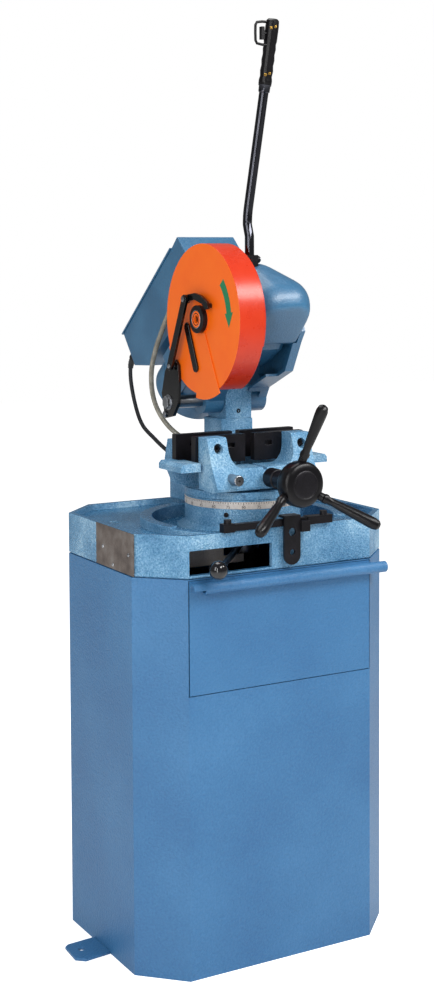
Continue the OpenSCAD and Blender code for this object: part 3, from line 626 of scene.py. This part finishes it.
for node, finish, width_mm in DRESSED:
    dressed(node, finish, width_mm)
bare_node("worm_wheel", "bearing_bronze")
bare_node("saw_blade", "ground_blade_steel")


def second_finish(piece, finish, takes_it):
    """Gives another finish to the faces that takes_it picks."""
    piece.data.materials.append(FINISH[finish])
    for face in piece.data.polygons:
        if takes_it(face):
            face.material_index = 1


# Tray: pale outside, floor painted darker as shade. Its rim lies above TRAY_FLOOR_Z, in metres
TRAY_FLOOR_Z = 0.936
second_finish(
    dressed("chip_tray", "hammered_casting_enamel", 2.5, join=False), "painted_shade_floor_enamel",
    lambda face: face.normal.z > 0.9 and face.center.z < TRAY_FLOOR_Z,
)

# Guard drum: orange face, rim painted darker and redder as shade
second_finish(
    dressed("guard_drum", "guard_enamel", 0.6), "guard_rim_enamel", lambda face: abs(face.normal.x) < 0.5
)


# Gear housing: the cast bulge, remeshed so that its faces flow into each other
def gear_housing():
    piece = place_piece(
        "gear_housing_cast", mesh_of(merged_copy("gear_housing"), "gear_housing"), "head",
        "gloss_casting_enamel", ["gear_housing"], smooth_deg=60,
    )
    remesh = piece.modifiers.new("remesh", "REMESH")
    remesh.mode = "VOXEL"
    remesh.voxel_size = 4 * MM
    remesh.use_smooth_shade = True
    smooth = piece.modifiers.new("flow", "SMOOTH")
    smooth.factor = 0.5
    smooth.iterations = 14


gear_housing()


# Motor fins and fan grille; blocks run out from the axis, across it and along it, in millimetres
FIN_COUNT = 30
FIN_BLOCK = (78, -1.6, 148), (86, 1.6, 300)
FOOT_REACH = 0.72  # cosine of the angle within which the motor's foot takes the place of the fins
GRILLE_COUNT = 24
GRILLE_BLOCK = (34, -2.5, -2.5), (74, 2.5, -0.1)
GRILLE_ALONG = 0.364


def round_axis(base, count):
    """Frames set out evenly round the Z axis of base."""
    return [base @ Matrix.Rotation(math.radians(360 * i / count), 4, "Z") for i in range(count)]


def motor_fins():
    bm = bmesh.new()
    foot = Vector((0, -math.sin(TILT), -math.cos(TILT)))
    for turn in round_axis(on_axis(WORM, MOTOR_DIR), FIN_COUNT):
        if (turn.to_3x3() @ Vector((1, 0, 0))).dot(foot) <= FOOT_REACH:
            box_bmesh(bm, *FIN_BLOCK, turn, round_mm=0.8)
    place_piece("motor_fins", mesh_of(bm, "motor_fins"), "head", "gloss_casting_enamel", smooth_deg=35)


def fan_grille():
    bm = bmesh.new()
    for turn in round_axis(on_axis(WORM + MOTOR_DIR * GRILLE_ALONG, MOTOR_DIR), GRILLE_COUNT):
        box_bmesh(bm, *GRILLE_BLOCK, turn, round_mm=0.4)
    # The grille's slots are dark blocks of painted shade
    place_piece("fan_grille_slot_shade", mesh_of(bm, "fan_grille_slot_shade"), "head", "dark_inside")


motor_fins()
fan_grille()


# Handwheel: turned hub, cap and three tapered arms; each arm starts and ends at (out from the axis, y)
WHEEL_AT = Vector((0, -0.340, VISE_AXIS_Z))
WHEEL_AXIS = Vector((0, 1, 0))
HUB_PROFILE = [
    (0, 1), (26, 1), (27.5, 0), (28.5, 1.5), (34, 2), (42, 4), (46.5, 8), (48, 13), (48, 34), (46, 40),
    (38, 46), (26, 50), (22, 55), (0, 55),
]
CAP_PROFILE = [(0, -0.6), (22, -0.3), (28, 0.4), (30.5, 2), (30.5, 5), (0, 5)]
ARM_PROFILE = [
    (0, 0), (9, 0), (9, 22), (10.5, 24), (10.5, 30), (8.2, 34), (8.2, 46), (9.5, 62), (11, 92), (12.6, 128),
    (12.4, 140), (10, 149), (5, 153), (0, 153.5),
]
ARM_ANGLES = (88, -32, 208)
ARM_ROOT = (0.040, -0.316)
ARM_TIP = (0.169, -0.398)


def handwheel():
    bm = bmesh.new()
    turned_bmesh(bm, HUB_PROFILE, WHEEL_AT, WHEEL_AXIS, steps=72)
    drawn_long = ARM_PROFILE[-1][1]
    for angle in ARM_ANGLES:
        out = Vector((math.cos(math.radians(angle)), 0, math.sin(math.radians(angle))))
        root, tip = (Vector((0, y, VISE_AXIS_Z)) + out * along for along, y in (ARM_ROOT, ARM_TIP))
        run = tip - root
        profile = [(r, h * run.length / drawn_long / MM) for r, h in ARM_PROFILE]
        turned_bmesh(bm, profile, root, run.normalized(), steps=28)
    place_piece(
        "handwheel_moulded", mesh_of(bm, "handwheel"), "handwheel", "moulded_black_plastic", ["handwheel"], 35
    )
    turned("handwheel_cap", CAP_PROFILE, WHEEL_AT, WHEEL_AXIS, "handwheel", "black_oxide_steel", steps=56)


handwheel()


# Lock lever: ball and turned collar
LOCK_POST = Vector((0, -0.080, 0.872))
LOCK_TIP = Vector((-0.180, -0.290, 0.864))
LOCK_OUT = (LOCK_TIP - LOCK_POST).normalized()
BALL_R = 20
BALL_PROFILE = [(0, -BALL_R)]
for degree in range(10, 180, 10):
    BALL_PROFILE.append((BALL_R * math.sin(math.radians(degree)), -BALL_R * math.cos(math.radians(degree))))
BALL_PROFILE.append((0, BALL_R))
COLLAR_PROFILE = [(7, -40), (9.5, -38), (10.5, -32), (9, -24), (9, -17), (0, -17)]
turned(
    "lock_ball_turned", BALL_PROFILE, LOCK_TIP, LOCK_OUT, "lock", "gloss_phenolic", ["lock_ball"],
    smooth_deg=80,
)
turned("lock_ball_collar", COLLAR_PROFILE, LOCK_TIP, LOCK_OUT, "lock", "turned_steel")


# Feed lever: bent rod, ferrule, grip with finger grooves, trigger loop and screws
SOCKET = Vector((0.055, -0.021, 1.486))
KINK = Vector((0.057, -0.009, 1.592))
ROD_END = Vector((0.078, -0.052, 1.880))
GRIP_END = Vector((0.088, -0.068, 2.010))
ROD_MM = 21
BEND_REACH = 0.02  # metres to each side of the kink that the bend takes
BEND_STEPS = 8
FERRULE_PROFILE = [(10.5, -18), (12.5, -16), (13, -4), (15.2, 0), (10, 0)]
GRIP_PROFILE = [
    (0, 0), (13.5, 0), (14.8, 2), (14.8, 10), (13.2, 18), (14.6, 30), (13.2, 42), (14.6, 54), (13.2, 66),
    (14.6, 78), (13.4, 88), (14.8, 96), (15, 128), (14, 140), (10, 144), (0, 145),
]
LOOP_Y = -67
LOOP_ROUTE = [
    (76, 1965), (62, 1965), (49, 1967), (45.5, 1973), (45, 1990), (45.5, 2007), (49, 2013), (62, 2015),
    (76, 2015),
]
LOOP_MM = 6
GRIP_SCREW_PROFILE = [(0, 3.2), (2.6, 3), (3.6, 1.8), (3.6, -1), (0, -1)]
GRIP_SCREW_PLACES = ((20, 4), (24, -5), (122, 4), (126, -5))  # along the grip and across it
GRIP_SCREW_OUT = 0.0125


def lever_rod():
    bm = bmesh.new()
    path = [SOCKET + UP * 0.018, SOCKET + UP * 0.06, KINK - UP * BEND_REACH]
    bend_end = KINK + (ROD_END - KINK).normalized() * BEND_REACH
    for i in range(1, BEND_STEPS):
        t = i / BEND_STEPS
        path.append(path[2] * (1 - t) ** 2 + KINK * 2 * t * (1 - t) + bend_end * t ** 2)
    path += [bend_end, ROD_END]
    bm.from_mesh(cord_mesh("rod", path, ROD_MM, sides=24))
    turned_bmesh(bm, FERRULE_PROFILE, ROD_END, ROD_END - KINK)
    place_piece("lever_rod_bent", mesh_of(bm, "lever_rod_bent"), "head", "black_chrome", ["lever_rod"], 40)


def lever_grip():
    run = (GRIP_END - ROD_END).normalized()
    bm = bmesh.new()
    turned_bmesh(bm, GRIP_PROFILE, ROD_END, run, steps=40)
    loop = [Vector((x, LOOP_Y, z)) * MM for x, z in LOOP_ROUTE]
    bm.from_mesh(cord_mesh("loop", loop, LOOP_MM, sides=12))
    place_piece(
        "lever_grip_moulded", mesh_of(bm, "lever_grip"), "head", "moulded_black_plastic", ["lever_grip"], 40
    )
    heads = bmesh.new()
    left = Vector((-0.35, -0.93, 0)).normalized()
    for along, across in GRIP_SCREW_PLACES:
        centre = ROD_END + run * along * MM + left * GRIP_SCREW_OUT + left.cross(run) * across * MM
        turned_bmesh(heads, GRIP_SCREW_PROFILE, centre, left, steps=20)
    place_piece("grip_screws", mesh_of(heads, "grip_screws"), "head", "brass_screw", smooth_deg=35)


lever_rod()
lever_grip()


# Degree scale: silver band, with marks and plain numbers
SCALE_R_MM = 127.4
SCALE_LOW_MM = 965
SCALE_HIGH_MM = 980
ZERO_DEG = -29.3
MARK_EVERY_DEG = 2.5
MARK_GAP = 0.8
NUMBER_EVERY_DEG = 15
NUMBER_SIZE = 9
NUMBER_FOOT = 1.2


def scale_point(angle_deg, out_mm, z_mm):
    """A point on the band; angles run from the front towards the right."""
    a = math.radians(angle_deg)
    r = (SCALE_R_MM + out_mm) * MM
    return Vector((r * math.sin(a), TURN.y - r * math.cos(a), z_mm * MM))


def degree_marks():
    """Lines below the band's top edge, longer at every 5 and 15 degrees, and numbers bent round the band."""
    bm = bmesh.new()
    for step in range(-36, 37):
        angle = ZERO_DEG + MARK_EVERY_DEG * step
        long = 5.6 if step % 6 == 0 else 3.6 if step % 2 == 0 else 2.4
        place = Matrix.Translation(scale_point(angle, 0, SCALE_HIGH_MM))
        turn = place @ Matrix.Rotation(math.radians(angle), 4, "Z")
        box_bmesh(bm, (-0.55, -0.15, -long - MARK_GAP), (0.55, 0.1, -MARK_GAP), turn)
    for degree in range(-90, 91, NUMBER_EVERY_DEG):
        text = bpy.data.curves.new("number", "FONT")
        text.body = str(90 - abs(degree))
        text.size = NUMBER_SIZE * MM
        text.align_x = "CENTER"
        text.extrude = 0.1 * MM
        holder = bpy.data.objects.new("number", text)
        mesh = bpy.data.meshes.new_from_object(holder)
        for vertex in mesh.vertices:
            x, y, z = vertex.co
            around = ZERO_DEG + degree + math.degrees(x / (SCALE_R_MM * MM))
            vertex.co = scale_point(around, 0.05 + z / MM, SCALE_LOW_MM + NUMBER_FOOT + y / MM)
        bm.from_mesh(mesh)
        bpy.data.meshes.remove(mesh)
        bpy.data.objects.remove(holder)
        bpy.data.curves.remove(text)
    place_piece("degree_marks", mesh_of(bm, "degree_marks"), "turntable", "dial_ink")


dressed("degree_scale", "dial_silver", 0.4)
degree_marks()


# Arrow on the guard's face, which shows the way the blade turns; its halves' widths are in millimetres
FACE_X_MM = -60.1
ARROW_R_MM = 121
ARROW_SHAFT = 10
ARROW_HEAD = 17
ARROW_RAISED = 0.3
ARROW_STEPS = 12
ARROW_FROM_DEG = 47
ARROW_TO_DEG = 82
ARROW_TIP_DEG = 97


def rotation_arrow():
    """A bent arrow on the drum's face; angles run from the top towards the front."""
    bm = bmesh.new()

    def at(radius, angle):
        a = math.radians(angle)
        back, up = radius * MM * math.sin(a), radius * MM * math.cos(a)
        return Vector((FACE_X_MM * MM, SPINDLE.y - back, SPINDLE.z + up))

    sweep = ARROW_TO_DEG - ARROW_FROM_DEG
    angles = [ARROW_FROM_DEG + sweep * i / ARROW_STEPS for i in range(ARROW_STEPS + 1)]
    edge = [at(ARROW_R_MM - ARROW_SHAFT, angle) for angle in angles]
    edge += [at(ARROW_R_MM - ARROW_HEAD, ARROW_TO_DEG), at(ARROW_R_MM, ARROW_TIP_DEG)]
    edge += [at(ARROW_R_MM + ARROW_HEAD, ARROW_TO_DEG)]
    edge += [at(ARROW_R_MM + ARROW_SHAFT, angle) for angle in reversed(angles)]
    face = bm.faces.new([bm.verts.new(point) for point in edge])
    raised = bmesh.ops.extrude_face_region(bm, geom=[face])["geom"]
    top = [v for v in raised if isinstance(v, bmesh.types.BMVert)]
    bmesh.ops.translate(bm, verts=top, vec=(-ARROW_RAISED * MM, 0, 0))
    place_piece("rotation_arrow", mesh_of(bm, "rotation_arrow"), "drum", "arrow_green")


rotation_arrow()


# Hub: rings inside the black washer
LEFT = (-1, 0, 0)
HUB_AT = Vector((-0.075, SPINDLE.y, SPINDLE.z))


def hub_ring(name, outer, inner, high, inside, finish):
    """A ring with chamfered edges, which reaches inside the washer by its fourth number."""
    profile = [
        (inner, inside), (inner, high - 0.4), (inner + 0.5, high), (outer - 0.5, high), (outer, high - 0.4),
        (outer, -0.5),
    ]
    turned(name, profile, HUB_AT, LEFT, "head", finish, steps=64)


hub_ring("hub_snap_ring", 20.5, 19.3, 0.8, -2, "turned_steel")
hub_ring("hub_wear_ring", 18.4, 14.2, 0.4, -4, "guard_enamel")
hub_ring("hub_inner_ring", 14.1, 12.6, 0.9, -6, "black_enamel")
hub_ring("hub_oil_seal", 12.5, 9.2, 0.2, -8, "guard_enamel")


# Linkage pins: bright domed heads on the black bars
def pin_head(name, at_mm, radius, high, body):
    profile = [
        (0, high), (radius * 0.45, high), (radius * 0.8, high * 0.75), (radius, high * 0.35), (radius, -0.5),
        (0, -0.5),
    ]
    turned(name, profile, Vector(at_mm) * MM, LEFT, body, "turned_steel", steps=28)


pin_head("link_top_pin", (-86, 34, 1407), 6.5, 2.0, "link")
pin_head("link_low_pin", (-84, 107, 1253), 4.5, 2.0, "turntable")
pin_head("bracket_nut_washer", (-71, PIVOT.y / MM, PIVOT.z / MM), 18, 0.8, "turntable")


# Strain reliefs: tapered rubber sleeves with ribs, where the cable and the hose leave their glands
RELIEF_WALL = 4.2
RELIEF_TAPER = 3.2
RELIEF_RIB = 0.5


def strain_relief(name, path, cord_mm, length_mm, body):
    """A sleeve along the start of path, whose every second ring stands out as a rib."""
    radii, run = [], 0.0
    for i, (point, following) in enumerate(zip(path, path[1:])):
        share = run / (length_mm * MM)
        if share > 1:
            break
        radii.append(cord_mm / 2 + RELIEF_WALL - RELIEF_TAPER * share + (RELIEF_RIB if i % 2 else 0.0))
        run += (following - point).length
    place_piece(name, tube_mesh(name, path, radii, 24), body, "rubber_sheath", smooth_deg=50)


strain_relief("cable_relief_box", route_points(CABLE_ROUTE), CABLE_MM, 34, "head")
strain_relief("cable_relief_column", route_points(CABLE_ROUTE)[::-1], CABLE_MM, 30, "turntable")
strain_relief("hose_relief_column", route_points(HOSE_ROUTE)[::-1], HOSE_MM, 24, "turntable")


# Screws and bolts that hold the covers: places, sizes and heights in millimetres
def socket_head(r, high):
    """A cap screw's head with its hole."""
    return [(r * 0.5, high - 2.5), (r * 0.5, high), (r * 0.88, high), (r, high - 0.7), (r, -0.5), (0, -0.5)]


def pan_head(r, high):
    """A domed screw head."""
    return [(0, high), (r * 0.5, high * 0.9), (r * 0.85, high * 0.55), (r, 0), (r, -0.5), (0, -0.5)]


def screws(name, profile, places, axis, body, finish, steps=24):
    """Heads of one kind in one piece."""
    bm = bmesh.new()
    for place in places:
        turned_bmesh(bm, profile, Vector(place) * MM, axis, steps)
    place_piece(name, mesh_of(bm, name), body, finish, smooth_deg=35)


RIGHT, FRONT = (1, 0, 0), (0, -1, 0)
LID_OUT = (0, 0.629, 0.777)
PLUG_OUT = (-0.72, -0.69, 0)
COVER_BOLTS_R = 38
COVER_BOLTS_LOWEST = 1345
COVER_PLACES = [
    (168, -8 + COVER_BOLTS_R * math.sin(math.radians(a)), 1377 + COVER_BOLTS_R * math.cos(math.radians(a)))
    for a in range(30, 390, 60)
]

screws(
    "side_plate_screws", pan_head(4, 2.2), [(-312, -21, 884), (-312, -144, 884), (-312, -70, 852)], LEFT,
    "base", "turned_steel", steps=20,
)
screws(
    "gear_cover_screws", socket_head(4.5, 4.5), [at for at in COVER_PLACES if at[2] > COVER_BOLTS_LOWEST],
    RIGHT, "head", "black_oxide_steel",
)
screws(
    "column_screws", socket_head(3.5, 4.5), [(46, 96, 998), (138, 96, 998), (46, 190, 998), (138, 190, 998)],
    UP, "turntable", "black_oxide_steel",
)
screws(
    "box_lid_screws", pan_head(4, 2.2),
    [(20, 300, 1495), (150, 300, 1495), (20, 500, 1334), (150, 500, 1334)],
    LID_OUT, "head", "turned_steel", steps=20,
)
screws("pivot_set_screw", socket_head(5, 1.5), [(95, 99.5, 1143)], FRONT, "turntable", "black_oxide_steel")
screws("turntable_plug", socket_head(5, 4), [(-92, -169, 953)], PLUG_OUT, "turntable", "black_oxide_steel")
screws("lever_clamp_bolt", socket_head(6, 3), [(79, -21, 1494)], RIGHT, "head", "turned_steel")
# Dark discs of painted shade at the tray's drains
screws(
    "tray_drain_hole_shade", pan_head(6, 0.6), [(-270, -60, 916.6), (270, -60, 916.6)], UP,
    "base", "dark_inside", steps=20,
)
# Dark discs of painted shade in the centres of the guide rods' ends
screws(
    "rod_end_centre_shade", pan_head(3, 0.4), [(-86, -215, 1030), (86, -215, 1030)], FRONT,
    "base", "dark_inside", steps=20,
)


# Floor, light and background
WHITE = (1, 1, 1, 1)
FLOOR_GLOW = 0.68  # what the camera sees on top of the floor's own shade, so that it ends nearly white
ROOM_FILL = 0.46  # strength of the world's light on the object
ROOM_MIRRORED = 0.2  # strength of the world in a reflection
BACKDROP = 1.0  # strength of the world behind the object


def pale_floor():
    """A floor that keeps its shadow, with a glow that only the camera sees."""
    bm = bmesh.new()
    bmesh.ops.create_grid(bm, x_segments=1, y_segments=1, size=12)
    floor = bpy.data.objects.new("floor", mesh_of(bm, "floor"))
    bpy.context.scene.collection.objects.link(floor)
    material, tree, principled, _ = new_material("pale_floor", Roughness=0.9)
    principled.inputs["Base Color"].default_value = linear("#f4f4f4")
    rays = add(tree, "ShaderNodeLightPath")
    white = add(tree, "ShaderNodeEmission", {"Color": WHITE, "Strength": FLOOR_GLOW})
    nothing = add(tree, "ShaderNodeEmission", {"Strength": 0.0})
    glow = add(
        tree, "ShaderNodeMixShader",
        links={"Fac": rays.outputs["Is Camera Ray"], 1: nothing.outputs[0], 2: white.outputs[0]},
    )
    both = add(tree, "ShaderNodeAddShader", links={0: principled.outputs[0], 1: glow.outputs[0]})
    tree.links.new(both.outputs[0], tree.nodes["Material Output"].inputs["Surface"])
    floor.data.materials.append(material)


def studio_world():
    """White for the camera and through clear plastic, plain on the object and lower in its reflections."""
    world = bpy.data.worlds.new("studio")
    bpy.context.scene.world = world
    world.use_nodes = True
    tree = world.node_tree
    rays = add(tree, "ShaderNodeLightPath")
    seen = add(
        tree, "ShaderNodeMath", {"operation": "MAXIMUM"},
        {0: rays.outputs["Is Camera Ray"], 1: rays.outputs["Is Transmission Ray"]},
    )
    room = add(
        tree, "ShaderNodeMapRange", {"To Min": ROOM_FILL, "To Max": ROOM_MIRRORED},
        {"Value": rays.outputs["Is Glossy Ray"]},
    )
    strength = add(
        tree, "ShaderNodeMapRange", {"To Max": BACKDROP},
        {"Value": seen.outputs[0], "To Min": room.outputs["Result"]},
    )
    background = tree.nodes["Background"]
    background.inputs["Color"].default_value = WHITE
    tree.links.new(strength.outputs["Result"], background.inputs["Strength"])


def softbox(name, place, aim, wide, high, watts):
    """A rectangular lamp at place, turned to aim."""
    light = bpy.data.lights.new(name, "AREA")
    light.shape = "RECTANGLE"
    light.size = wide
    light.size_y = high
    light.energy = watts
    holder = bpy.data.objects.new(name, light)
    bpy.context.scene.collection.objects.link(holder)
    holder.location = place
    holder.rotation_euler = (Vector(aim) - Vector(place)).to_track_quat("-Z", "Y").to_euler()


pale_floor()
studio_world()
softbox("key_softbox", (1.0, -1.9, 2.9), (0, 0, 1.15), 2.6, 0.7, 70)
softbox("fill_softbox", (-2.7, -1.2, 2.2), (0, 0, 0.9), 0.9, 2.0, 24)
softbox("strip_softbox", (-2.2, -2.4, 1.5), (0, 0, 1.4), 0.24, 2.6, 24)
softbox("top_softbox", (0.0, 0.6, 3.8), (0, 0, 1.0), 1.6, 1.6, 30)
bpy.context.scene.view_settings.view_transform = "Standard"
